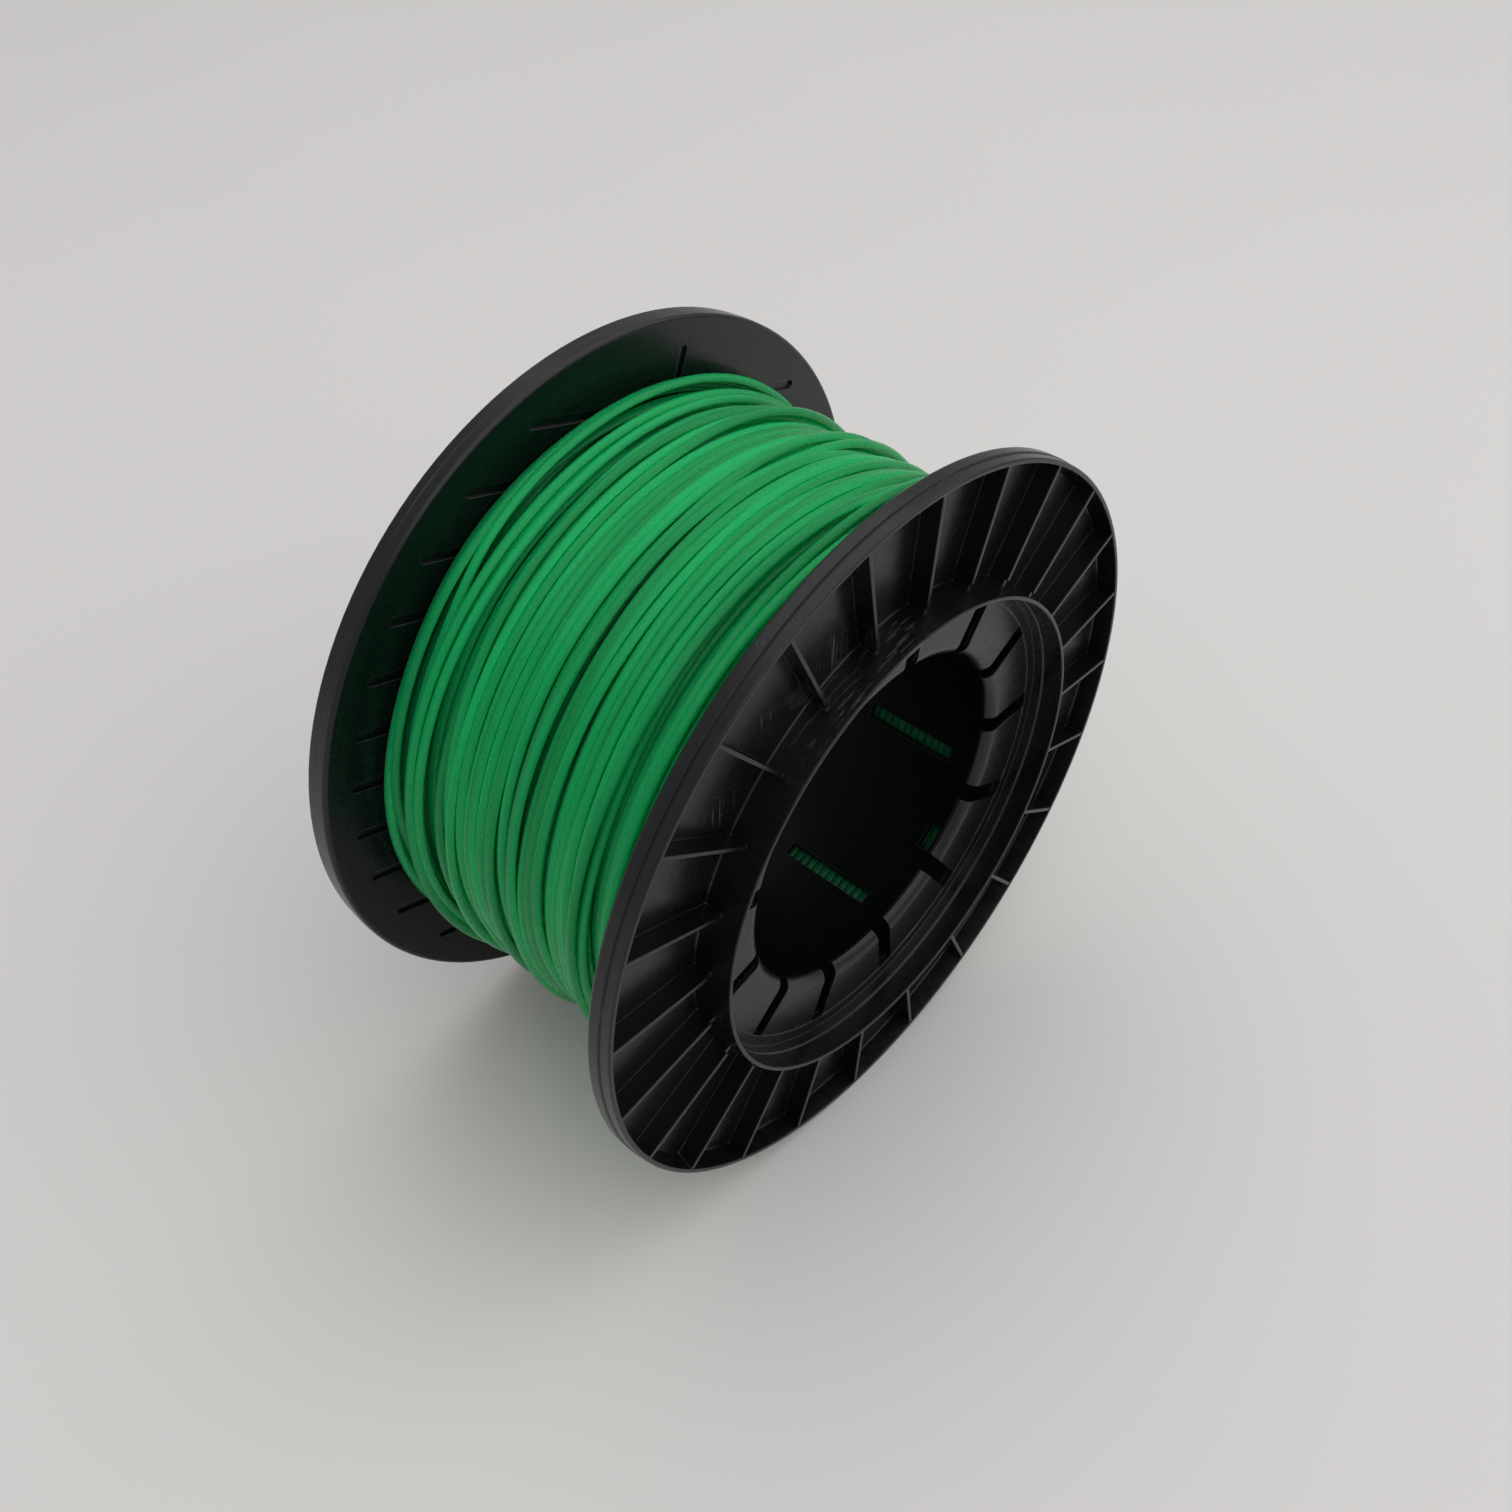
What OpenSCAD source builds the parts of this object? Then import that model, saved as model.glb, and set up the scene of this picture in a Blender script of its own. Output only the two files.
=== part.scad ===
// Fishing line spool: two like moulded flanges, plugged onto a slotted barrel that is wound
// with heavy monofilament. Millimetres. The spool stands on its rims: the winding axis lies
// along Y, the front flange faces -Y, +Z is up, and the origin is the middle of the bore.

/* [Rim and web] */
// Outer diameter of both flanges
flange_d = 200; // [195:1:230]
// Width of the spool over the outer planes of its two rims
width = 105; // [90:1:130]
// Axial width of each rim
rim_w = 7; // [6:0.5:9]
// Thickness of the rim's skirt at its outer edge
skirt_t = 1.2; // [0.8:0.1:2]
// How much thicker the skirt is at the web, as mould draft
skirt_draft = 0.9; // [0:0.1:1.5]
// Step on the rim where the two halves of the mould meet
parting_step = 0.3; // [0.1:0.1:0.6]
// Distance of that step from the rim's outer plane
parting_depth = 3.1; // [2:0.1:3.8]
// Width of the fine groove along that step
parting_groove = 0.5; // [0.3:0.1:0.8]
// Rounding of the rim's edge beside the line
rim_round = 1.2; // [0.5:0.1:2.2]
// Small chamfer on free edges
edge_chamfer = 0.3; // [0.1:0.1:0.5]
// Thickness of the web between hub and rim
web_t = 1.6; // [1.2:0.1:2.2]
// Fillet where the web meets the hub and the skirt
web_fillet = 0.6; // [0.2:0.1:1]

/* [Ribs] */
// Number of stiffening ribs on the outer face
rib_count = 24; // [12:1:36]
// Thickness of a rib
rib_t = 1; // [0.8:0.1:2]
// How far the ribs stop below the rim's outer plane
rib_drop = 0.1; // [0:0.1:1]
// Length of the low step at a rib's inner end
rib_step_len = 1.2; // [0.5:0.1:3]
// Depth of that step
rib_step_h = 0.6; // [0.2:0.1:1]
// Direction of the first rib, from +X towards +Z
rib_angle = 11.3; // [0:0.1:15]

/* [Grooves beside the line] */
// Width of a groove in the flange's inner face
groove_w = 2.6; // [1.5:0.1:4]
// Depth of a groove
groove_depth = 0.8; // [0.3:0.1:1]
// Distance between neighbouring parallel grooves
groove_pitch = 15.2; // [10:0.1:20]
// Distance from the groove tips to the rim
groove_inset = 8.3; // [5:0.1:12]
// Direction of the parallel grooves, from +X towards +Z
groove_angle = -21; // [-45:1:0]
// Turn of the rear flange about the axis against the front one
rear_turn = -39; // [-90:1:0]

/* [Collar and socket] */
// Height of the collar above the rim's outer plane
collar_h = 5; // [3.5:0.1:8]
// Wall thickness of the collar
collar_wall = 1; // [0.9:0.1:2]
// How much wider the hub is at the web than at the lip, as mould draft on the radius
hub_draft = 0.7; // [0.2:0.1:2]
// How much wider the collar's mouth is than the socket, on the radius
mouth_flare = 1.4; // [0.8:0.1:2]
// Width of the small ledge inside the collar
mouth_ledge = 0.4; // [0.2:0.1:0.8]
// Depth of that ledge below the rim's outer plane
ledge_depth = 1; // [0.8:0.1:1.5]
// How much the wall below the ledge narrows towards the seat, on the radius
ledge_draft = 0.2; // [0.1:0.1:0.4]
// Rounding of the collar's lip
lip_round = 0.3; // [0.1:0.1:0.4]
// Wall thickness of the socket that holds the barrel's end
socket_wall = 2; // [1.6:0.1:3]
// How far the socket reaches beyond the web
socket_reach = 5.5; // [4.5:0.5:8]
// Depth of the barrel's seat below the rim's outer plane, at its outer side
seat_depth = 3.5; // [2.5:0.1:4.2]
// How much further that seat reaches inwards than the backs of the fingers
seat_extra = 0.1; // [0.1:0.1:1]
// Width of the seat, from the socket's wall to the fingers' roots
seat_w = 2.2; // [1.5:0.1:4]

/* [Finger ring] */
// Diameter of the spindle bore, between the fingers' tips
bore_d = 92.6; // [80:0.2:104]
// Number of springy fingers round the bore
finger_count = 13; // [8:1:18]
// Width of the gap between two fingers
finger_gap = 5; // [1.5:0.1:6]
// Thickness of a finger
finger_t = 1; // [1:0.1:1.5]
// How far the fingers lie below the seat's outer side
finger_step = 0.3; // [0.1:0.1:0.3]
// Outer radius of the curl at a finger's tip
curl_r = 3.5; // [2:0.1:4]
// How far the bore cuts into that curl
curl_cut = 0.2; // [0.1:0.05:0.3]
// Length of the straight land at a finger's tip
tip_land = 0.5; // [0.3:0.1:0.8]
// Direction of the first gap, from +X towards +Z
finger_angle = -27.3; // [-45:0.1:0]

/* [Barrel] */
// Outer diameter of the barrel
barrel_d = 128; // [124:0.5:132]
// Wall thickness of the barrel
barrel_wall = 2.4; // [1.8:0.1:3]
// Clearance between barrel and socket, on the radius
plug_clear = 0.2; // [0.1:0.05:0.3]
// Clearance between the barrel's end and its seat
end_clear = 0.1; // [0.05:0.05:0.5]
// Height of the snap bead round each end of the barrel
bead_h = 0.5; // [0.3:0.05:0.7]
// Width of the snap bead
bead_w = 1.6; // [1.2:0.1:2]
// Distance of the snap bead from the web's inner face
bead_inset = 2.5; // [2:0.1:3]
// Number of slots round each half of the barrel
slot_count = 8; // [4:1:12]
// Width of a slot
slot_w = 4.2; // [2:0.1:6]
// Distance between the slots of the two halves
slot_bridge = 7; // [4:0.5:12]
// Distance from the slots to the ring that holds the anchor windows
slot_end_gap = 3.5; // [1:0.1:8]
// Direction of the first slot, from +X towards +Z
slot_angle = -26; // [-45:1:0]
// Length of an anchor window round the barrel
window_len = 7.7; // [7:0.1:12]
// Width of an anchor window along the barrel
window_w = 3.5; // [3.4:0.1:5]
// Distance from the socket to an anchor window
window_gap = 1; // [1:0.1:4]
// Direction of the anchor windows, from +X towards +Z
window_angle = -48; // [-90:1:90]

/* [Line] */
// Diameter of the line
line_d = 2.4; // [1.6:0.1:2.8]
// Thickness of the winding, from the barrel to the top of its outer layer
winding_t = 18.8; // [14:0.1:24]
// Clearance between the winding and the plastic
winding_clear = 0.1; // [0.05:0.05:0.5]
// Clearance between the outer layer and the layers below it
layer_clear = 0.1; // [0.05:0.05:0.5]
// Largest number of turns in the outer layer
max_turns = 24; // [4:1:24]
// Least gap planned between neighbouring turns
turn_gap = 0.5; // [0.45:0.05:2]
// How far a turn wanders to either side of its even place
lay_wander = 0.3; // [0:0.05:0.4]
// Number of turns after which the wandering repeats
wander_turns = 2.7; // [2:0.1:6]
// Direction in which the outer layer starts and ends, from +X towards +Z
lay_start = -50; // [-90:1:0]
// Bend radius where an end of the line turns inwards
bend_r = 3; // [2:0.1:4]
// Clearance round the line where it enters the layers below
pocket_clear = 0.3; // [0.2:0.05:0.5]
// Length of the anchored inner end along the barrel's inside
tail_len = 32; // [15:1:60]

/* [Hidden] */
$fn = 180;
groove_fn = 24;
margin = 1;
black_plastic = "#26282b";
green_line = "#17924b";
deep_green = "#0d6b37";

// Radii
rim_r = flange_d / 2;
barrel_r = barrel_d / 2;
barrel_in_r = barrel_r - barrel_wall;
socket_in_r = barrel_r + plug_clear;
socket_r = socket_in_r + socket_wall;
mouth_r = socket_in_r + mouth_flare;
collar_r = mouth_r + collar_wall;
hub_r = collar_r + hub_draft;
finger_root_r = socket_in_r - seat_w;
bore_r = bore_d / 2;
line_r = line_d / 2;
pocket_r = line_r + pocket_clear;

// Heights in a flange's own frame: the rim's outer plane is z = 0, the line lies below it
web_inner = -rim_w;
web_outer = web_inner + web_t;
socket_end = web_inner - socket_reach;
bead_z = web_inner - bead_inset;
finger_top = -seat_depth - finger_step;
seat_back = finger_top - finger_t - seat_extra;
curl_z = finger_top - curl_r;
land_from = curl_z + sqrt(pow(curl_r, 2) - pow(curl_r - curl_cut, 2));
tip_end = min(land_from - tip_land, finger_top - finger_t) - edge_chamfer;

// Places along the axis
web_y = width / 2 + web_inner;
bead_y = width / 2 + bead_z;
barrel_half = width / 2 + seat_back - end_clear;
socket_y = width / 2 + socket_end;
window_y = socket_y - window_gap - window_w / 2;
slot_from = slot_bridge / 2;
slot_to = window_y - window_w / 2 - slot_end_gap;

// The outer layer is one tube along a helix, whose rings stand at even angles
rings_per_turn = 24;
tube_sides = 6;
bend_steps = 4;
winding_half = web_y - winding_clear;
lay_r = barrel_r + winding_t - line_r;
lay_span = 2 * (winding_half - line_r - lay_wander - layer_clear);
turns = min(max_turns, floor(lay_span / (line_d + turn_gap + 2 * lay_wander)));
lay_pitch = lay_span / turns;
last_ring = turns * rings_per_turn;
core_in_r = barrel_r + winding_clear;
core_r = lay_r * cos(180 / rings_per_turn) - line_r - layer_clear;

// The anchored end bends inside its window and then follows the barrel's inner wall
tail_r = barrel_in_r - winding_clear - line_r;
tail_shift = pocket_r + bend_r - window_len / 2;
tail_angle = window_angle + asin(tail_shift / tail_r);
tail_arc = tail_len / tail_r * 180 / PI;
tail_steps = 12;

function outward(a) = [cos(a), 0, sin(a)];
function unit(v) = v / norm(v);
function arc(centre, r, from, to, steps) = [for (k = [0 : steps])
    let (a = from + (to - from) * k / steps) centre + r * [cos(a), sin(a)]];

// A tube's path is a list of stops: [centre, first normal, second normal]
function lay_angle(i) = lay_start + 360 * i / rings_per_turn;
function lay_y(i) = lay_pitch * i / rings_per_turn - lay_span / 2
    + lay_wander * sin(360 * i / rings_per_turn / wander_turns);
function lay_point(i) = lay_r * outward(lay_angle(i)) + [0, lay_y(i), 0];
function lay_tangent(i) = unit(lay_point(i + 0.5) - lay_point(i - 0.5));
function lay_stop(i) =
    let (n = outward(lay_angle(i)))
    [lay_point(i), n, unit(cross(lay_tangent(i), n))];

// Quarter bend towards the axis at the first turn (side -1) or the last (side 1):
// a is 90 where the bend meets the helix and 0 where it points at the axis
function lay_bend(i, side, a) =
    let (n = outward(lay_angle(i)), t = lay_tangent(i), r = side * cos(a) * t + sin(a) * n)
    [lay_point(i) - bend_r * n + bend_r * r, r, unit(cross(t, n))];
function lay_end(i, side) =
    let (stop = lay_bend(i, side, 0))
    [stop[0] - line_d * outward(lay_angle(i)), stop[1], stop[2]];
lay_path = [
    lay_end(0, -1),
    for (k = [0 : bend_steps - 1]) lay_bend(0, -1, 90 * k / bend_steps),
    for (i = [0 : last_ring]) lay_stop(i),
    for (k = [bend_steps - 1 : -1 : 0]) lay_bend(last_ring, 1, 90 * k / bend_steps),
    lay_end(last_ring, 1)];

function tail_bend(a) =
    let (r = -[sin(a), 0, cos(a)])
    [[tail_r + bend_r, 0, 0] + bend_r * r, r, [0, -1, 0]];
function tail_stop(a) = [tail_r * outward(a), -outward(a), [0, -1, 0]];
tail_path = [
    [[core_in_r + line_d, 0, -bend_r], [0, 0, -1], [0, -1, 0]],
    for (k = [0 : bend_steps - 1]) tail_bend(90 * k / bend_steps),
    for (k = [0 : tail_steps]) tail_stop(tail_arc * k / tail_steps)];

// Least gap between stretches of a tube that lie half a turn or more apart along it
function least_gap(path) = min([for (i = [0 : len(path) - 1])
    for (j = [i + rings_per_turn / 2 : 1 : len(path) - 1]) norm(path[j][0] - path[i][0])])
    - line_d;

// One closed tube of the line's diameter along a path, all in triangles
module tube(path) {
    points = [for (stop = path) for (k = [0 : tube_sides - 1])
        let (a = 360 * k / tube_sides) stop[0] + line_r * (cos(a) * stop[1] + sin(a) * stop[2])];
    walls = [for (i = [0 : len(path) - 2]) for (k = [0 : tube_sides - 1])
        let (a = i * tube_sides + k, b = i * tube_sides + (k + 1) % tube_sides)
        each [[a, a + tube_sides, b], [b, a + tube_sides, b + tube_sides]]];
    last = (len(path) - 1) * tube_sides;
    caps = [for (k = [1 : tube_sides - 2]) each [[0, k, k + 1], [last, last + k + 1, last + k]]];
    polyhedron(points, concat(walls, caps));
}

// Turns a shape drawn along +X to direction a in the XZ plane
module at_angle(a) {
    rotate([0, -a, 0]) children();
}

// Outline of a snap bead, or of its groove, on a cylinder of radius r
function snap_outline(r, z, w) =
    [[r, z + w / 2], [r + bead_h, z + w / 6], [r + bead_h, z - w / 6], [r, z - w / 2]];

// Rim, web, hub, collar, seat and socket in section
module flange_section() {
    skirt_r = rim_r - parting_step;
    skirt_foot_r = skirt_r - skirt_t - skirt_draft;
    polygon(concat(
        [[socket_in_r, socket_end + edge_chamfer], [socket_in_r + edge_chamfer, socket_end],
         [socket_r - edge_chamfer, socket_end], [socket_r, socket_end + edge_chamfer],
         [socket_r, web_inner]],
        arc([rim_r - rim_round, web_inner + rim_round], rim_round, -90, 0, 12),
        [[rim_r, -parting_depth - parting_groove / 2],
         [skirt_r - parting_groove / 2, -parting_depth],
         [skirt_r, parting_groove / 2 - parting_depth],
         [skirt_r, -edge_chamfer], [skirt_r - edge_chamfer, 0],
         [skirt_r - skirt_t, 0]],
        arc([skirt_foot_r - web_fillet, web_outer + web_fillet], web_fillet, 0, -90, 4),
        arc([hub_r + web_fillet, web_outer + web_fillet], web_fillet, -90, -180, 4),
        arc([collar_r - lip_round, collar_h - lip_round], lip_round, 0, 90, 6),
        arc([mouth_r + lip_round, collar_h - lip_round], lip_round, 90, 180, 6),
        [[mouth_r, mouth_ledge - ledge_depth], [mouth_r - mouth_ledge, -ledge_depth],
         [mouth_r - mouth_ledge - ledge_draft, -seat_depth],
         [finger_root_r, -seat_depth], [finger_root_r, seat_back], [socket_in_r, seat_back]],
        snap_outline(socket_in_r, bead_z, bead_w + 2 * plug_clear)));
}

// A finger in section: a flat leaf that curls inwards and ends in a short land along the bore
module finger_section() {
    curl = [bore_r + curl_r - curl_cut, curl_z];
    inner_r = curl_r - finger_t;
    root_r = finger_root_r + edge_chamfer;
    polygon(concat(
        [[root_r, finger_top]],
        arc(curl, curl_r, 90, 180 - asin((land_from - curl_z) / curl_r), 8),
        [[bore_r, tip_end + edge_chamfer], [bore_r + edge_chamfer, tip_end]],
        arc(curl, inner_r, 180 - asin((tip_end - curl_z) / inner_r), 90, 8),
        [[root_r, finger_top - finger_t]]));
}

module ribs() {
    inner = (mouth_r + collar_r) / 2;
    outer = rim_r - parting_step - skirt_t / 2;
    step = hub_r + rib_step_len;
    base = web_inner + web_t / 2;
    top = -rib_drop;
    for (k = [0 : rib_count - 1]) rotate(rib_angle + 360 * k / rib_count)
        translate([0, -rib_t / 2, base]) {
            translate([inner, 0, 0]) cube([outer - inner, rib_t, top - rib_step_h - base]);
            translate([step, 0, 0]) cube([outer - step, rib_t, top - base]);
        }
}

module finger_gaps() {
    inner = bore_r - margin;
    for (k = [0 : finger_count - 1]) rotate(finger_angle + 360 * k / finger_count)
        translate([inner, -finger_gap / 2, tip_end - margin])
            cube([finger_root_r - inner, finger_gap, 2 * margin - tip_end]);
}

// A groove with round ends across the whole inner face
module groove(tip_to_tip) {
    straight = tip_to_tip - groove_w;
    translate([0, 0, web_inner - margin]) linear_extrude(margin + groove_depth) {
        square([straight, groove_w], center = true);
        for (side = [-1, 1])
            translate([side * straight / 2, 0]) circle(d = groove_w, $fn = groove_fn);
    }
}

// Parallel grooves side by side and one across them, from tip to hub on both sides
module grooves() {
    tip_r = rim_r - groove_inset;
    side_count = floor(tip_r / groove_pitch) - 1;
    difference() {
        rotate(groove_angle) {
            for (k = [-side_count : side_count]) translate([0, k * groove_pitch, 0])
                groove(2 * sqrt(pow(tip_r, 2) - pow(k * groove_pitch, 2)));
            rotate(90) groove(2 * tip_r);
        }
        translate([0, 0, web_inner - 2 * margin])
            cylinder(r = hub_r + groove_w / 2, h = groove_depth + 3 * margin);
    }
}

module flange() {
    difference() {
        union() {
            rotate_extrude() flange_section();
            rotate_extrude() finger_section();
            ribs();
        }
        finger_gaps();
        grooves();
    }
}

module flange_front() {
    color(black_plastic) translate([0, -width / 2, 0]) rotate([90, 0, 0]) flange();
}

module flange_rear() {
    color(black_plastic) at_angle(rear_turn)
        translate([0, width / 2, 0]) rotate([-90, 0, 0]) flange();
}

module barrel() {
    bead = snap_outline(barrel_r, bead_y, bead_w);
    color(black_plastic) difference() {
        rotate([90, 0, 0]) rotate_extrude() polygon(concat(
            [[barrel_in_r, -barrel_half], [barrel_r - edge_chamfer, -barrel_half],
             [barrel_r, edge_chamfer - barrel_half]],
            [for (p = bead) [p[0], -p[1]]],
            [for (k = [len(bead) - 1 : -1 : 0]) bead[k]],
            [[barrel_r, barrel_half - edge_chamfer], [barrel_r - edge_chamfer, barrel_half],
             [barrel_in_r, barrel_half]]));
        for (side = [-1, 1]) {
            for (k = [0 : slot_count - 1]) at_angle(slot_angle + 360 * k / slot_count)
                translate([barrel_r, side * (slot_from + slot_to) / 2, 0])
                    cube([4 * barrel_wall, slot_to - slot_from, slot_w], center = true);
            at_angle(window_angle) translate([barrel_r, side * window_y, 0])
                cube([4 * barrel_wall, window_w, window_len], center = true);
        }
    }
}

// A square pocket round a piece of line, from radius r1 to r2 and from z1 to z2 across
module pocket(r1, r2, z1, z2) {
    translate([r1, -pocket_r, z1]) cube([r2 - r1, 2 * pocket_r, z2 - z1]);
}

module line_inner_layers() {
    socket_clear_r = socket_r + winding_clear;
    socket_clear_y = socket_y - winding_clear;
    lay_floor = lay_r - bend_r - line_d;
    reach = bend_r + pocket_r;
    color(deep_green) difference() {
        rotate([90, 0, 0]) rotate_extrude() polygon([
            [core_in_r, -socket_clear_y], [socket_clear_r, -socket_clear_y],
            [socket_clear_r, -winding_half], [core_r, -winding_half],
            [core_r, winding_half], [socket_clear_r, winding_half],
            [socket_clear_r, socket_clear_y], [core_in_r, socket_clear_y]]);
        at_angle(lay_angle(0)) translate([0, lay_y(0), 0])
            pocket(lay_floor, lay_r, -reach, 0);
        at_angle(lay_angle(last_ring)) translate([0, lay_y(last_ring), 0])
            pocket(lay_floor, lay_r, 0, reach);
        at_angle(tail_angle) translate([0, window_y, -bend_r])
            pocket(barrel_r - margin, core_in_r + line_d, -pocket_r, pocket_r);
    }
}

module line_outer_layer() {
    color(green_line) tube(lay_path);
    echo(turns = turns, least_gap = least_gap(lay_path));
}

module line_inner_end() {
    color(green_line) at_angle(tail_angle) translate([0, window_y, 0]) tube(tail_path);
}

flange_front();
flange_rear();
barrel();
line_inner_layers();
line_outer_layer();
line_inner_end();
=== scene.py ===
"""Fishing line spool: black moulded flanges and a slotted barrel, wound with green monofilament.

The CAD frame gives every size. The line is laid turn by turn: each turn follows the wandering
hand that guided it, slides into the hollows below it and rests on what it crosses.
"""

import math

import bpy
import numpy as np
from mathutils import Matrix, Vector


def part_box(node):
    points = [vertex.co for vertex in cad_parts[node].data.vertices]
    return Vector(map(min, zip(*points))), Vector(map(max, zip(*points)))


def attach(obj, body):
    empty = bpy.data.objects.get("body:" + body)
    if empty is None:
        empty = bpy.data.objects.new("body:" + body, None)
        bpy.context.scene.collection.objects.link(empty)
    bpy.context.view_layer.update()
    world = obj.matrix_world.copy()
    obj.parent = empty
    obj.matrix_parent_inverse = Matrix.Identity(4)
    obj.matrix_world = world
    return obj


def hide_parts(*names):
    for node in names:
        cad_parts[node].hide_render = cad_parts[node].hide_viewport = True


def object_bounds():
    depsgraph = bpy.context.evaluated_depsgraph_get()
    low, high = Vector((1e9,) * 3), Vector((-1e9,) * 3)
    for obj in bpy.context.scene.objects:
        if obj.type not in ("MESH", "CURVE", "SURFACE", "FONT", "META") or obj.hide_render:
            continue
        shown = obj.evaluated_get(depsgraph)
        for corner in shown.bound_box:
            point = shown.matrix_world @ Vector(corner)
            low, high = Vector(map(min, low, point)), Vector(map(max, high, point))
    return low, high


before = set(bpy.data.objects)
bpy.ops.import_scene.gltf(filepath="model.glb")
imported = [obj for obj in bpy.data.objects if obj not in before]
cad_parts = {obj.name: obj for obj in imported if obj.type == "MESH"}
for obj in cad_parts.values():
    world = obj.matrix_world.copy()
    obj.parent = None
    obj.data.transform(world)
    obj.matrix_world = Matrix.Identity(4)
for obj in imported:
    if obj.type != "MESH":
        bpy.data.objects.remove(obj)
cad_low, cad_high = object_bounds()
MM = 0.001

# ---------------------------------------------------------------- sizes from the frame

core_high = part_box("line_inner_layers")[1]
turns_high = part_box("line_outer_layer")[1]

FLOOR_Z = cad_low.z                          # the spool stands on its rims
LINE_D = 2.4 * MM                            # diameter of the line
WINDING_HALF = core_high.y                   # half the width of the winding
WINDING_R = turns_high.x                     # radius over the outer layer
CORE_IN_R = 64.1 * MM                        # radius of the layers' inner side
WINDOW_Y = 37.25 * MM                        # middle of the anchor window, along the axis
FACE_Y = 45.5 * MM                           # the flanges' inner faces, where grooves begin
TAIL_R = 60.3 * MM                           # radius on which the anchored end lies
TAIL_BEND = 3 * MM                           # its bend at the window
TAIL_ANGLE = math.radians(-47.4)             # where it leaves the window, from +X towards +Z
TAIL_LEN = 32 * MM                           # its length along the barrel's inside


# ---------------------------------------------------------------- small tools

def link(obj):
    bpy.context.scene.collection.objects.link(obj)
    return obj


def smooth_mesh(name, points, faces):
    """A mesh object with smooth shading."""
    mesh = bpy.data.meshes.new(name)
    mesh.from_pydata([tuple(p) for p in points], [], [tuple(f) for f in faces])
    mesh.polygons.foreach_set("use_smooth", [True] * len(mesh.polygons))
    mesh.update()
    return link(bpy.data.objects.new(name, mesh))


def tube(name, centres, radius, sides):
    """One closed tube of a given radius along a path in metres that goes round the axis."""
    n = len(centres)
    along = np.gradient(centres, axis=0)
    along /= np.linalg.norm(along, axis=1, keepdims=True)
    across = np.array([[0.0, 1.0, 0.0]])
    across = across - along * np.sum(across * along, axis=1, keepdims=True)
    across /= np.linalg.norm(across, axis=1, keepdims=True)
    out = np.cross(across, along)
    a = np.arange(sides) * 2 * math.pi / sides
    rings = centres[:, None] + radius * (
        np.cos(a)[None, :, None] * out[:, None] + np.sin(a)[None, :, None] * across[:, None])
    i, k = np.meshgrid(np.arange(n - 1), np.arange(sides), indexing="ij")
    here = i * sides + k
    beside = i * sides + (k + 1) % sides
    walls = np.stack([here, beside, beside + sides, here + sides], -1).reshape(-1, 4)
    caps = [list(range(sides))[::-1], [(n - 1) * sides + k for k in range(sides)]]
    return smooth_mesh(name, rings.reshape(-1, 3), walls.tolist() + caps)


def lathe(name, profile, steps):
    """Turns a closed outline of (radius, y) points about the Y axis."""
    a = np.arange(steps) * 2 * math.pi / steps
    p = np.array(profile)
    points = np.stack([
        p[None, :, 0] * np.cos(a)[:, None],
        np.broadcast_to(p[None, :, 1], (steps, len(p))),
        p[None, :, 0] * np.sin(a)[:, None]], -1).reshape(-1, 3)
    n = len(p)
    faces = [
        (i * n + k, i * n + (k + 1) % n, (i + 1) % steps * n + (k + 1) % n, (i + 1) % steps * n + k)
        for i in range(steps) for k in range(n)]
    return smooth_mesh(name, points, faces)


def round_axis(radius, angle, y):
    """Points round the axis."""
    return np.stack([radius * np.cos(angle), y + 0 * angle, radius * np.sin(angle)], -1)


# ---------------------------------------------------------------- materials

SPOT_CORE = 0.35                             # part of a spot's reach that has full strength


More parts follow.
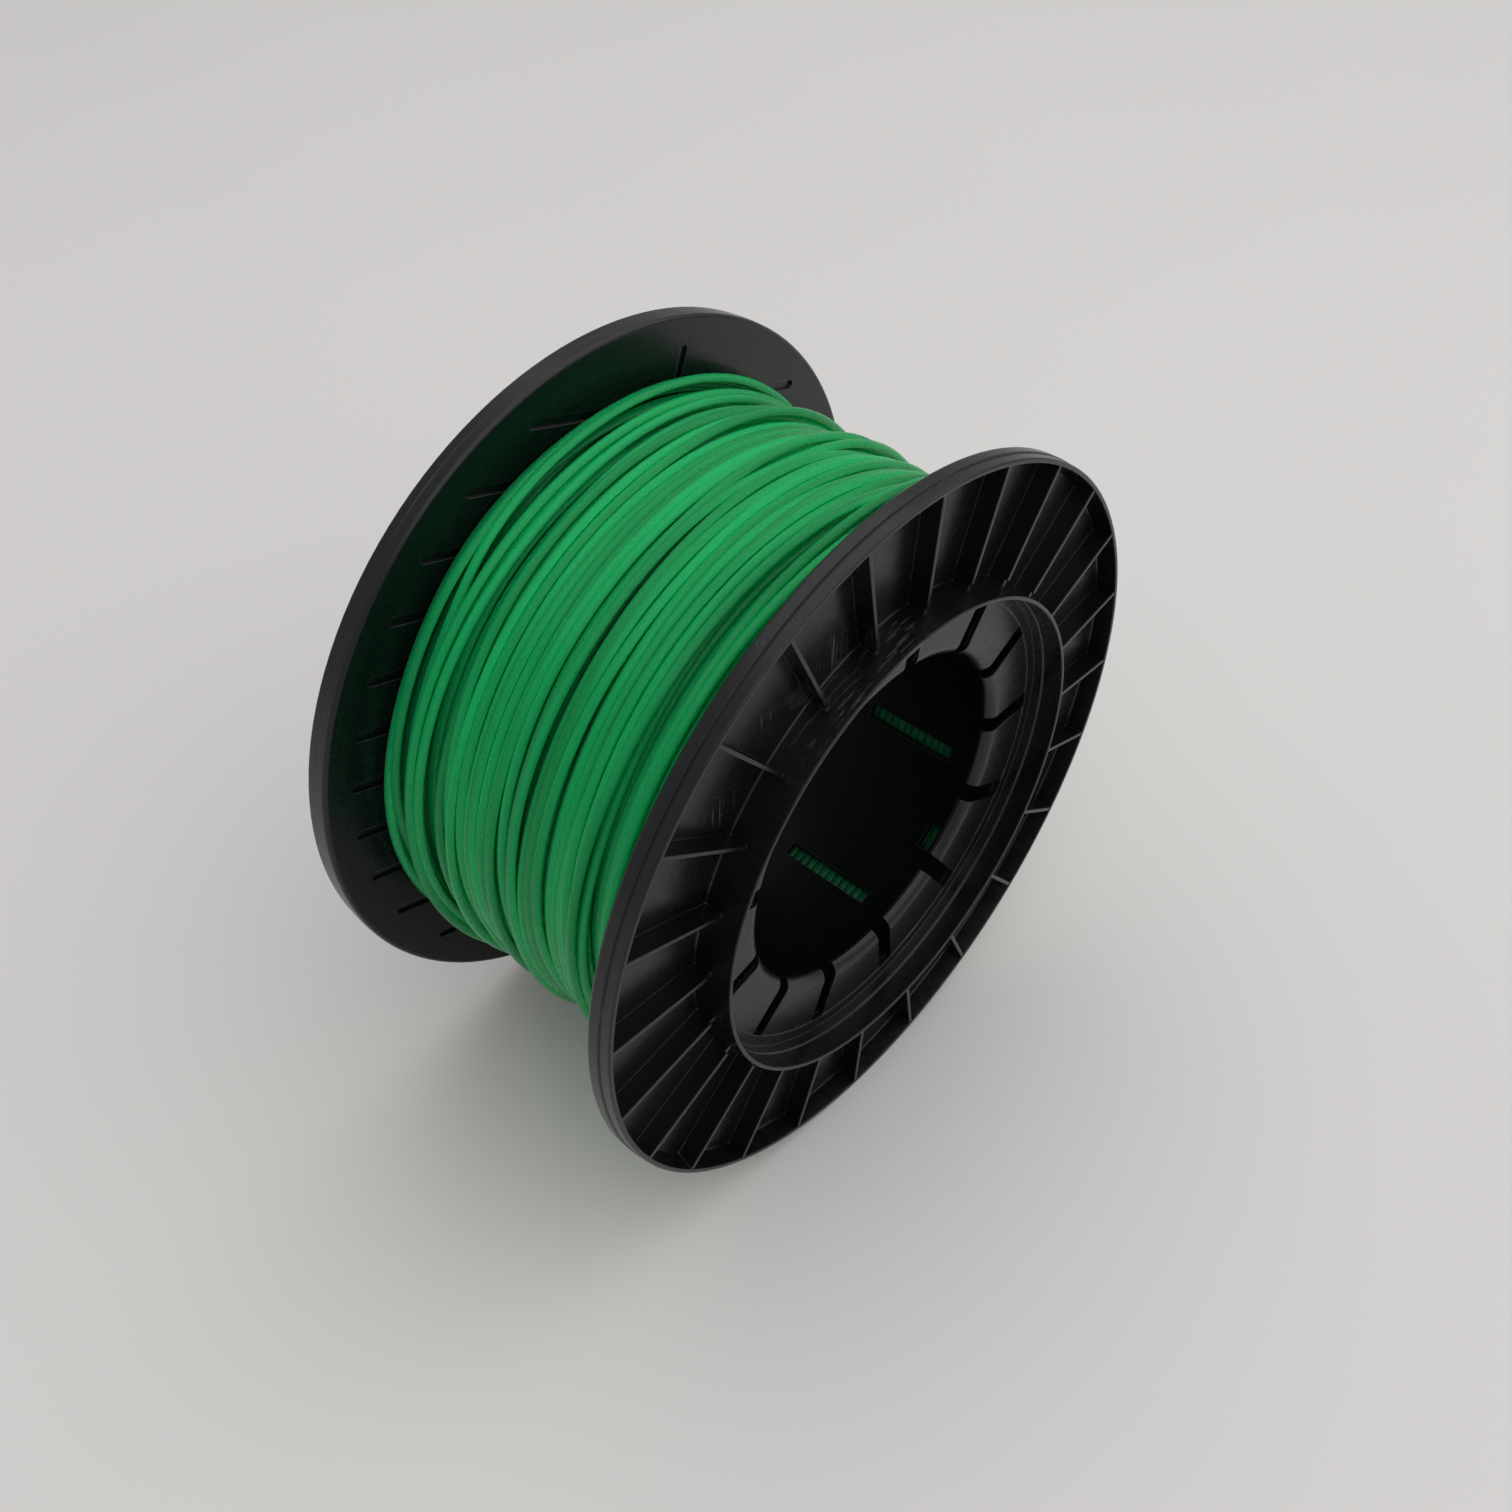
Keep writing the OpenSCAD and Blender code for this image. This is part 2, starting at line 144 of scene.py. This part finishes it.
class Nodes:
    """Short calls for building a material's node tree."""

    def __init__(self, name):
        self.material = bpy.data.materials.new(name)
        self.material.use_nodes = True
        self.tree = self.material.node_tree
        self.shader = self.tree.nodes["Principled BSDF"]

    def add(self, kind, inputs=None, **settings):
        node = self.tree.nodes.new(kind)
        for key, value in settings.items():
            setattr(node, key, value)
        for key, value in (inputs or {}).items():
            self.plug(node.inputs[key], value)
        return node

    def plug(self, socket, value):
        if isinstance(value, bpy.types.NodeSocket):
            self.tree.links.new(value, socket)
        else:
            socket.default_value = value

    def set(self, **values):
        for key, value in values.items():
            self.plug(self.shader.inputs[key.replace("_", " ")], value)

    def coords(self):
        return self.add("ShaderNodeTexCoord").outputs["Object"]

    def noise(self, vector, scale, detail, roughness, stretch=None, turn=(0, 0, 0)):
        if stretch:
            vector = self.add("ShaderNodeMapping", {
                "Vector": vector, "Scale": stretch, "Rotation": turn}).outputs[0]
        return self.add("ShaderNodeTexNoise", {
            "Vector": vector, "Scale": scale, "Detail": detail,
            "Roughness": roughness}).outputs["Fac"]

    def remap(self, value, low, high, to_low=0.0, to_high=1.0):
        return self.add("ShaderNodeMapRange", {
            "Value": value, "From Min": low, "From Max": high,
            "To Min": to_low, "To Max": to_high}).outputs["Result"]

    def mix(self, fac, a, b):
        node = self.add("ShaderNodeMix", data_type="RGBA")
        self.plug(node.inputs[0], fac)
        self.plug(node.inputs[6], a)
        self.plug(node.inputs[7], b)
        return node.outputs[2]

    def mix_vector(self, fac, a, b):
        node = self.add("ShaderNodeMix", data_type="VECTOR")
        self.plug(node.inputs[0], fac)
        self.plug(node.inputs[4], a)
        self.plug(node.inputs[5], b)
        return node.outputs[1]

    def vector(self, operation, a, b=None, output=0):
        node = self.add("ShaderNodeVectorMath", {0: a}, operation=operation)
        if b is not None:
            self.plug(node.inputs[1], b)
        return node.outputs[output]

    def math(self, operation, a, b):
        return self.add("ShaderNodeMath", {0: a, 1: b}, operation=operation).outputs[0]

    def times(self, a, b):
        return self.math("MULTIPLY", a, b)

    def either(self, a, b):
        return self.math("MAXIMUM", a, b)

    def around(self, place, spots):
        """1 near any of some spots on the object, falling to 0 at their reach."""
        total = 0.0
        for centre, reach in spots:
            away = self.vector("DISTANCE", place, tuple(c * MM for c in centre), "Value")
            near = self.remap(away, SPOT_CORE * reach * MM, reach * MM, 1.0, 0.0)
            total = self.either(near, total)
        return total

    def bump(self, height, strength, distance, normal):
        return self.add("ShaderNodeBump", {
            "Height": height, "Strength": strength, "Distance": distance,
            "Normal": normal}).outputs["Normal"]


SCRATCHED = (                                # scratched places on the web: centre and reach, mm
    ((-44, -47.1, 63), 5.0), ((-58.3, -47.1, 48.8), 6.5), ((-23, -47.1, 70), 7.5))
RUBBED = (((-29, -54.5, 60), 15.0), ((-8, -54.5, 67), 12.0))     # where the hub is scuffed

# Noises of the plastic: scale per metre, detail, roughness
FLOW = (35, 4, 0.55)
RIPPLE = (160, 2, 0.5)
HAIR = (380, 4, 0.6)
EDGE_WEAR_AND_HIGHLIGHT = (70, 5, 0.65)
RUB_PATCHES = (260, 4, 0.6)
RUB_LINES = (1100, 3, 0.6)
SCRATCH_LINES = (1500, 2, 0.5)
SCRATCH_FLECKS = (1300, 2, 0.5)
SCRATCH_PATCHES = (40, 2, 0.5)

# How those are stretched, and turned in radians
HAIR_STRETCH = (1.0, 0.35, 1.0)
RUB_STRETCH = (0.12, 1.0, 0.12)
SCRATCH_STRETCH = (1.0, 1.0, 0.05)
SCRATCH_TURN = (0.0, 0.75, 0.0)

# Between which values of a noise its marks come up
HAIR_RANGE = (0.35, 0.75)
EDGE_WEAR_AND_HIGHLIGHT_RANGE = (0.56, 0.64)
RUB_PATCH_RANGE = (0.46, 0.54)
RUB_LINE_RANGE = (0.56, 0.62)
LINE_RANGE = (0.60, 0.66)
FLECK_RANGE = (0.66, 0.70)
PATCH_RANGE = (0.68, 0.74)

EDGE_ROUND = 0.4 * MM                        # rounding of the plastic's edges in the shading
EDGE_SAMPLES = 8                             # rays that find it
# edge mask for wear and for painted edge highlights
EDGE_RANGE = (0.99, 0.93)                    # how far an edge's normal turns for full wear
# painted edge highlight: full at and inside the inner face, fading out between these depths below
# it
GROOVE_EDGE = (0.2 * MM, 0.5 * MM)           # depths below the inner face where its wear fades
PATCH_STRENGTH = 0.5                         # of stray scratches, beside the placed ones

BLACK_LOW = (0.0018, 0.0027, 0.0038, 1)
BLACK_HIGH = (0.0034, 0.0043, 0.0056, 1)
# light grey of scuffs and of painted edge highlights
SCUFF_AND_EDGE_HIGHLIGHT = (0.070, 0.067, 0.062, 1)
SCUFF_AND_EDGE_HIGHLIGHT_COVER = 0.6
SCRATCH = (0.075, 0.078, 0.080, 1)
SCRATCH_COVER = 0.7
PLASTIC_IOR = 1.5

# Bumps: strength and height in metres
RIPPLE_BUMP = (0.12, 0.0006)
HAIR_BUMP = (0.04, 0.00008)
SCRATCH_BUMP = (0.3, 0.00008)


def scuffs_and_edge_highlight(n, place, soft):
    """Lighter marks: painted highlight on every edge at or inside the flanges' inner faces, such as
    the grooves' rims; wear with painted highlight in patches on edges elsewhere; scuff lines where
    something rubbed the hub.
    """
    flat = n.add("ShaderNodeNewGeometry").outputs["Normal"]
    edge = n.remap(n.vector("DOT_PRODUCT", soft, flat, "Value"), *EDGE_RANGE)
    rubbed = n.around(place, RUBBED)
    rub_lines = n.remap(n.noise(place, *RUB_LINES, stretch=RUB_STRETCH), *RUB_LINE_RANGE)
    rub_patches = n.remap(n.noise(place, *RUB_PATCHES), *RUB_PATCH_RANGE)
    # patches on edges: wear and painted highlight
    worn_and_highlit = n.either(n.remap(n.noise(place, *EDGE_WEAR_AND_HIGHLIGHT), *EDGE_WEAR_AND_HIGHLIGHT_RANGE), n.times(rubbed, rub_patches))
    along_axis = n.add("ShaderNodeSeparateXYZ", {0: place}).outputs["Y"]
    depth = n.math("SUBTRACT", n.math("ABSOLUTE", along_axis, 0.0), FACE_Y)
    # painted highlight on every edge at or inside the inner face
    inner = n.remap(depth, *GROOVE_EDGE, 1.0, 0.0)
    return n.either(n.times(edge, n.either(worn_and_highlit, inner)), n.times(rubbed, rub_lines))


def scratches(n, place):
    """Clusters of fine lines and flecks, at their places and a few stray ones."""
    lines = n.remap(
        n.noise(place, *SCRATCH_LINES, stretch=SCRATCH_STRETCH, turn=SCRATCH_TURN), *LINE_RANGE)
    flecks = n.remap(n.noise(place, *SCRATCH_FLECKS), *FLECK_RANGE)
    stray = n.remap(n.noise(place, *SCRATCH_PATCHES), *PATCH_RANGE, 0.0, PATCH_STRENGTH)
    return n.times(n.either(n.around(place, SCRATCHED), stray), n.either(lines, flecks))


def black_plastic(name, rough_low, rough_high, gloss):
    """Glossy moulded plastic: a faint ripple, hairlines, clusters of scratches, scuffed edges and
    painted edge highlights.
    """
    n = Nodes(name)
    place = n.coords()
    hair = n.noise(place, *HAIR, stretch=HAIR_STRETCH)
    soft = n.add("ShaderNodeBevel", {"Radius": EDGE_ROUND}, samples=EDGE_SAMPLES).outputs[0]
    scratched = scratches(n, place)
    colour = n.mix(n.noise(place, *FLOW), BLACK_LOW, BLACK_HIGH)
    # lighter colour on edges: painted highlight, with scuffs in places
    colour = n.mix(n.times(scuffs_and_edge_highlight(n, place, soft), SCUFF_AND_EDGE_HIGHLIGHT_COVER), colour, SCUFF_AND_EDGE_HIGHLIGHT)
    colour = n.mix(n.times(scratched, SCRATCH_COVER), colour, SCRATCH)
    normal = n.bump(n.noise(place, *RIPPLE), *RIPPLE_BUMP, soft)
    normal = n.bump(hair, *HAIR_BUMP, normal)
    n.set(
        Base_Color=colour,
        Roughness=n.remap(hair, *HAIR_RANGE, rough_low, rough_high),
        Normal=n.bump(n.times(scratched, -1.0), *SCRATCH_BUMP, normal),
        Specular_IOR_Level=gloss,
        IOR=PLASTIC_IOR)
    return n.material


SOFT_ROUND = 0.42                            # how much translucency evens out a turn's shading
STREAKS = (8, 2, 0.5)                        # noise along the line: scale, detail, roughness
STREAK_STRETCH = (1.0, 40.0, 1.0)            # each turn has its own tone
STREAK_RANGE = (0.32, 0.68)
GRAIN = (900, 2, 0.5)                        # fine noise of its surface
GRAIN_RANGE = (0.3, 0.7)
GRAIN_BUMP = (0.05, 0.0002)                  # strength and height in metres
LINE_ROUGH = (0.24, 0.36)
LINE_GLOSS = 0.18
LINE_IOR = 1.5
SCATTER = (0.5, 1.0, 0.7)                    # how far red, green and blue spread in it


def green_line(name, light, dark, spread, soft_round):
    """Translucent nylon: light spreads between the turns, so their roundness looks soft."""
    n = Nodes(name)
    place = n.coords()
    streaks = n.noise(place, *STREAKS, stretch=STREAK_STRETCH)
    grain = n.noise(place, *GRAIN)
    outward = n.vector("NORMALIZE", n.vector("MULTIPLY", place, (1.0, 0.0, 1.0)))
    round_normal = n.add("ShaderNodeNewGeometry").outputs["Normal"]
    normal = n.vector("NORMALIZE", n.mix_vector(soft_round, round_normal, outward))
    n.shader.subsurface_method = "BURLEY"
    n.set(
        Base_Color=n.mix(n.remap(streaks, *STREAK_RANGE), dark, light),
        Roughness=n.remap(grain, *GRAIN_RANGE, *LINE_ROUGH),
        Specular_IOR_Level=LINE_GLOSS,
        Subsurface_Weight=1.0,
        Subsurface_Radius=SCATTER,
        Subsurface_Scale=spread,
        Normal=n.bump(grain, *GRAIN_BUMP, normal),
        IOR=LINE_IOR)
    return n.material


PAPER_TONES = (3, 2, 0.5)                    # noise of the floor: scale, detail, roughness
PAPER_DARK = (0.70, 0.685, 0.675, 1)
PAPER_LIGHT = (0.73, 0.715, 0.705, 1)
PAPER_ROUGH = 0.85


def paper(name):
    """Pale matt paper under the spool."""
    n = Nodes(name)
    tone = n.noise(n.coords(), *PAPER_TONES)
    n.set(Base_Color=n.mix(tone, PAPER_DARK, PAPER_LIGHT), Roughness=PAPER_ROUGH)
    return n.material


# ---------------------------------------------------------------- the winding

SEED = 11
STEPS = 180                                  # places round a turn
LAYERS = 4                                   # layers that are laid turn by turn
TURNS = 36                                   # turns in each of them
LAY_WIDTH = WINDING_HALF - LINE_D / 2 - 0.1 * MM
LAY_DEPTH = 10 * MM                          # depth below the surface where the laying begins
GRID = 454                                   # places across the winding
RECENT = 2 * TURNS + 6                       # turns that a new turn can touch

# The hand that guides a layer
DRIFT = 0.45 * MM                            # its slow wandering
DRIFT_SPREAD = 0.26                          # turns over which that goes on
WAVE = 0.6 * MM                              # its repeated sway, once to three times a turn
WAVE_SPREAD = 3.0                            # turns over which the sway's phase changes
WAVE_TURN = 1.2                              # by how much, in radians
STRAYS = 4                                   # turns of a layer that stray
STRAY_REACH = (3.0, 6.5)                     # how far aside, in mm
STRAY_LENGTH = (0.14, 0.28)                  # over how much of a turn
EDGE_ROOM = 9 * MM                           # distance from the flange where it swings less
EDGE_LEFT = 1 * MM                           # what is left of that room at the flange
REBOUND = 0.6                                # how it is turned back at the flange
GUIDE_SPREAD = 5                             # places over which its path is smoothed

# A turn that comes to rest
SLIDE = 1.4                                  # how far it can slide aside, in mm
SLIDE_TRIES = 15
SLIDE_COST = 0.4
SIDE_SPREAD = 10                             # places over which its slide is smoothed
DRAPE = 3                                    # places that it stays up before and after a crossing
RISE_SPREAD = 4                              # places over which its rise is smoothed

# Evening out between layers, as pressure on them does
LEVEL_SPREAD = (10, 22)                      # places round and across that share a level
LEVEL_PULL = 0.85
OUTER_DROP = 0.9 * MM                        # level of the top layer, below the winding's radius
OUTER_SIDE = 1.0 * MM                        # how much higher the winding sits above the axis
SURFACE_FLOOR = 2 * MM                       # deepest gap that counts for the level

LOOSE = 0.16 * MM                            # slack of the turns
LOOSE_SPREAD = 0.35                          # turns over which that goes on
PATH_SPREAD = 2                              # places over which the whole path is smoothed
TUCK_STEPS = 24                              # places over which the outer end dives under
TUCK_DEPTH = 1.5 * LINE_D
TURN_SIDES = 10

# The layers below
CORE_TOP = 9 * MM                            # depth of the plain core below the winding's radius
CORE_STEPS = 180
FIRST_SIDES = 8

# The anchored end
END_SIDES = 12
WAY_IN_POINTS = 4
BEND_POINTS = 9
WALL_POINTS = 30


def smooth_along(values, spread):
    """Gaussian smoothing along a path, with its ends held."""
    reach = int(3 * spread)
    kernel = np.exp(-0.5 * (np.arange(-reach, reach + 1) / spread) ** 2)
    padded = np.concatenate([np.full(reach, values[0]), values, np.full(reach, values[-1])])
    return np.convolve(padded, kernel / kernel.sum(), mode="valid")


def smooth_field(field, round_spread, across_spread):
    """Gaussian smoothing of a field over angle (which wraps) and width."""
    def kernel(spread):
        reach = int(3 * spread)
        k = np.exp(-0.5 * (np.arange(-reach, reach + 1) / spread) ** 2)
        return k / k.sum(), reach
    k, reach = kernel(round_spread)
    wrapped = np.concatenate([field[-reach:], field, field[:reach]])
    field = sum(k[i] * wrapped[i:i + len(field)] for i in range(len(k)))
    k, reach = kernel(across_spread)
    wide = np.pad(field, ((0, 0), (reach, reach)), mode="edge")
    return sum(k[i] * wide[:, i:i + field.shape[1]] for i in range(len(k)))


def wander(rng, count, spread, size):
    """A smooth random curve of a given spread and size."""
    values = smooth_along(rng.normal(size=count), spread)
    return values * size / values.std()


def guide_path(rng, heading):
    """Where the hand guides one layer, sample by sample, from one flange to the other."""
    count = TURNS * STEPS
    s = np.arange(count) / STEPS
    even = heading * np.clip(LAY_WIDTH * (2 * (s - 0.5) / (TURNS - 1) - 1), -LAY_WIDTH, LAY_WIDTH)
    aside = wander(rng, count, STEPS * DRIFT_SPREAD, DRIFT)
    for k in (1, 2, 3):
        phase = wander(rng, count, STEPS * WAVE_SPREAD, WAVE_TURN) + rng.uniform(0, 2 * math.pi)
        aside += WAVE / k * np.sin(2 * math.pi * k * s + phase)
    for _ in range(STRAYS):
        place = rng.uniform(1, TURNS - 1)
        width = rng.uniform(*STRAY_LENGTH)
        stray = rng.uniform(*STRAY_REACH) * rng.choice([-1, 1]) * MM
        aside += stray * np.exp(-0.5 * ((s - place) / width) ** 2)
    room = LAY_WIDTH - np.abs(even)
    y = even + aside * np.minimum(1, (room + EDGE_LEFT) / EDGE_ROOM)
    over = np.abs(y) - LAY_WIDTH
    y = np.where(over > 0, np.sign(y) * (LAY_WIDTH - REBOUND * over), y)
    return smooth_along(y, GUIDE_SPREAD)


def resting_radius(y, below_y, below_r, base):
    """Radius at which a turn rests at y on the turns below it."""
    gap = np.abs(y[..., None, :] - below_y[None])
    lift = np.sqrt(np.clip(LINE_D ** 2 - gap ** 2, 0, None))
    held = np.where(gap < LINE_D, below_r[None] + lift, 0)
    return np.maximum(held.max(axis=-2), base)


def surface(ys, rs):
    """Radius over the turns on a grid of angle and width."""
    across = np.linspace(-WINDING_HALF, WINDING_HALF, GRID)
    top = np.zeros((STEPS, GRID))
    for y, r in zip(ys, rs):
        off = across[None] - y[:, None]
        bulge = np.sqrt(np.clip((LINE_D / 2) ** 2 - off ** 2, 0, None))
        top = np.maximum(top, np.where(bulge > 0, r[:, None] + bulge, 0))
    return np.maximum(top, np.median(top) - SURFACE_FLOOR)


def lay_turn(target, ys, rs, base):
    """Lays one turn: it slides into hollows near its target and rests on what it crosses."""
    tries = np.linspace(-SLIDE, SLIDE, SLIDE_TRIES) * MM
    options = np.clip(target[None] + tries[:, None], -LAY_WIDTH, LAY_WIDTH)
    cost = resting_radius(options, ys, rs, base) + SLIDE_COST * tries[:, None] ** 2 / LINE_D
    y = options[cost.argmin(axis=0), np.arange(STEPS)]
    y = smooth_along(np.concatenate([ys[-1], y]), SIDE_SPREAD)[STEPS:]
    r = resting_radius(y[None], ys, rs, base)[0]
    r = np.max([np.roll(r, k) for k in range(-DRAPE, DRAPE + 1)], axis=0)
    return y, smooth_along(np.concatenate([rs[-1], r]), RISE_SPREAD)[STEPS:]


def outer_goal():
    """Level that the top layer is brought to: the winding sits a little high on the barrel."""
    angle = np.arange(STEPS) * 2 * math.pi / STEPS
    return (WINDING_R - OUTER_DROP + OUTER_SIDE * np.sin(angle))[None]


def lay_line(rng):
    """The upper layers as (y, radius) of every turn, outermost last."""
    base = WINDING_R - LAY_DEPTH
    ys = np.full((1, STEPS), -LAY_WIDTH)
    rs = np.full((1, STEPS), base)
    for layer in range(LAYERS):
        guide = guide_path(rng, 1 if layer % 2 == 0 else -1).reshape(TURNS, STEPS)
        for target in guide:
            y, r = lay_turn(target, ys[-RECENT:], rs[-RECENT:], base)
            ys = np.vstack([ys, y])
            rs = np.vstack([rs, r])
        level = smooth_field(surface(ys, rs), *LEVEL_SPREAD)
        goal = level.mean() if layer < LAYERS - 1 else outer_goal()
        place = np.clip(((ys / WINDING_HALF + 1) / 2 * (GRID - 1)).round().astype(int), 0, GRID - 1)
        rs = rs - LEVEL_PULL * (level[np.arange(STEPS)[None], place] - goal)
    return ys, rs


def winding():
    """The upper layers as one tube, with the outer end dived between its neighbours."""
    rng = np.random.default_rng(SEED)
    ys, rs = lay_line(rng)
    rs += wander(rng, rs.size, STEPS * LOOSE_SPREAD, LOOSE).reshape(rs.shape)
    y = smooth_along(ys.ravel(), PATH_SPREAD)
    r = smooth_along(rs.ravel(), PATH_SPREAD)
    tuck = np.clip((np.arange(len(r)) - len(r) + TUCK_STEPS) / TUCK_STEPS, 0, 1)
    r -= TUCK_DEPTH * tuck ** 2 * (3 - 2 * tuck)
    angle = np.arange(len(y)) * 2 * math.pi / STEPS
    centres = np.stack([r * np.cos(angle), y, r * np.sin(angle)], -1)
    piece = tube("outer_turns", centres, LINE_D / 2, TURN_SIDES)
    piece.data.materials.append(LINE)
    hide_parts("line_outer_layer")
    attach(piece, "root")


def lowest_path(radius):
    """The first layer: from the anchor window close beside each other to the far socket."""
    steps = np.arange(int(2 * WINDOW_Y / LINE_D * STEPS))
    angle = TAIL_ANGLE - TAIL_BEND / radius - steps * 2 * math.pi / STEPS
    return round_axis(radius, angle, WINDOW_Y - steps * LINE_D / STEPS)


def inner_layers():
    """The layers below: a core with the lowest turns, laid side by side, on its inside."""
    top = WINDING_R - CORE_TOP
    low = CORE_IN_R + LINE_D
    edge = WINDING_HALF
    core = lathe("inner_turns", [
        (low, -edge), (top, -edge), (top, edge), (low, edge)], CORE_STEPS)
    # the core gets the darker copy of the line: painted shade
    core.data.materials.append(SHADED_DEEP_LINE)
    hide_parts("line_inner_layers")
    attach(core, "root")
    lowest = CORE_IN_R + LINE_D / 2
    first = tube("lowest_turns", lowest_path(lowest), LINE_D / 2, FIRST_SIDES)
    # the lowest turns get the darker copy of the line: painted shade
    first.data.materials.append(SHADED_FIRST_LINE)
    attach(first, "root")


def anchored_end():
    """The line's inner end: in through the window, round a bend, then along the barrel's wall."""
    way_in = np.linspace(CORE_IN_R + LINE_D, TAIL_R + TAIL_BEND, WAY_IN_POINTS)
    radial = np.stack([way_in, 0 * way_in, -TAIL_BEND + 0 * way_in], -1)
    turn = np.linspace(0, math.pi / 2, BEND_POINTS)[1:-1]
    bend = np.stack([
        TAIL_R + TAIL_BEND * (1 - np.sin(turn)), 0 * turn, -TAIL_BEND * np.cos(turn)], -1)
    along = round_axis(TAIL_R, np.linspace(0, TAIL_LEN / TAIL_R, WALL_POINTS), 0.0)
    path = np.vstack([radial, bend, along])
    cos = math.cos(TAIL_ANGLE)
    sin = math.sin(TAIL_ANGLE)
    path = np.stack([
        cos * path[:, 0] - sin * path[:, 2],
        path[:, 1] + WINDOW_Y,
        sin * path[:, 0] + cos * path[:, 2]], -1)
    piece = tube("anchored_end", path, LINE_D / 2, END_SIDES)
    # the anchored end gets the darker copy of the line: painted shade
    piece.data.materials.append(SHADED_FIRST_LINE)
    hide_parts("line_inner_end")
    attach(piece, "root")


# ---------------------------------------------------------------- plastic pieces

def plastics():
    """The flanges and the barrel keep their CAD meshes."""
    for name, material in (
            ("flange_front", FLANGE), ("flange_rear", FLANGE), ("barrel", BARREL)):
        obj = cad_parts[name]
        obj.data.materials.clear()
        obj.data.materials.append(material)


# ---------------------------------------------------------------- stage

CAMERA_PLACE = (-0.24045, -0.21143, 0.30013)         # solved from the photograph's ellipses
CAMERA_DOWN = 39.325                         # degrees below the horizon
CAMERA_TURN = -47.126                        # degrees about Z
CAMERA_SENSOR = 36
CAMERA_LENS = 39.105
CAMERA_SHIFT = (0.0333, -0.0890)
CAMERA_NEAR = 0.01

FLOOR_HALF = 4                               # half the floor's side, m
SKY_COLOUR = (1.0, 0.99, 0.98, 1)
SKY_STRENGTH = 0.46
LAMP_PLACE = (0.2, -0.35, 1.3)
LAMP_TARGET = (0, 0, -0.03)
LAMP_SIZE = 3.2
LAMP_POWER = 26.0


def camera():
    data = bpy.data.cameras.new("camera")
    data.sensor_width = CAMERA_SENSOR
    data.lens = CAMERA_LENS
    data.shift_x, data.shift_y = CAMERA_SHIFT
    data.clip_start = CAMERA_NEAR
    cam = link(bpy.data.objects.new("camera", data))
    cam.location = CAMERA_PLACE
    cam.rotation_euler = (math.radians(90 - CAMERA_DOWN), 0, math.radians(CAMERA_TURN))
    bpy.context.scene.camera = cam


def ceiling():
    """One large soft lamp overhead."""
    data = bpy.data.lights.new("ceiling", "AREA")
    data.shape = "RECTANGLE"
    data.size = LAMP_SIZE
    data.size_y = LAMP_SIZE
    data.energy = LAMP_POWER
    data.color = (1, 1, 1)
    lamp = link(bpy.data.objects.new("ceiling", data))
    lamp.location = LAMP_PLACE
    back = np.array(LAMP_PLACE) - np.array(LAMP_TARGET)
    lamp.rotation_euler = (
        math.atan2(math.hypot(back[0], back[1]), back[2]), 0,
        math.atan2(back[1], back[0]) + math.pi / 2)


def stage():
    """A pale floor, the studio's even light and the lamp."""
    far = FLOOR_HALF
    floor = smooth_mesh("floor", [
        (-far, -far, FLOOR_Z), (far, -far, FLOOR_Z), (far, far, FLOOR_Z),
        (-far, far, FLOOR_Z)], [(0, 1, 2, 3)])
    floor.data.materials.append(paper("paper"))
    world = bpy.data.worlds.new("studio")
    world.use_nodes = True
    background = world.node_tree.nodes["Background"]
    background.inputs["Color"].default_value = SKY_COLOUR
    background.inputs["Strength"].default_value = SKY_STRENGTH
    bpy.context.scene.world = world
    ceiling()
    bpy.context.scene.view_settings.view_transform = "Standard"


# Lines: lighter and darker green, how far light spreads, how much the roundness is evened out. The
# first and the deep line are darker copies of the same nylon, painted shade for the layers deep
# inside.
LINE = green_line(
    "green_line", (0.004, 0.35, 0.10, 1), (0.002, 0.20, 0.05, 1), 3.5 * MM, SOFT_ROUND)
# darker copy of the line: painted shade of the lowest turns and the end inside the barrel
SHADED_FIRST_LINE = green_line(
    "first_line_painted_shade", (0.004, 0.14, 0.05, 1), (0.003, 0.09, 0.03, 1), 2 * MM, 0.0)
# darker copy of the line: painted shade of the core below the outer turns
SHADED_DEEP_LINE = green_line(
    "deep_line_painted_shade", (0.004, 0.20, 0.055, 1), (0.003, 0.15, 0.04, 1), 3 * MM, 0.0)

# Plastics: lowest and highest roughness, gloss
FLANGE = black_plastic("flange_plastic", 0.25, 0.33, 0.4)
BARREL = black_plastic("barrel_plastic", 0.34, 0.42, 0.15)

camera()
stage()
plastics()
winding()
inner_layers()
anchored_end()
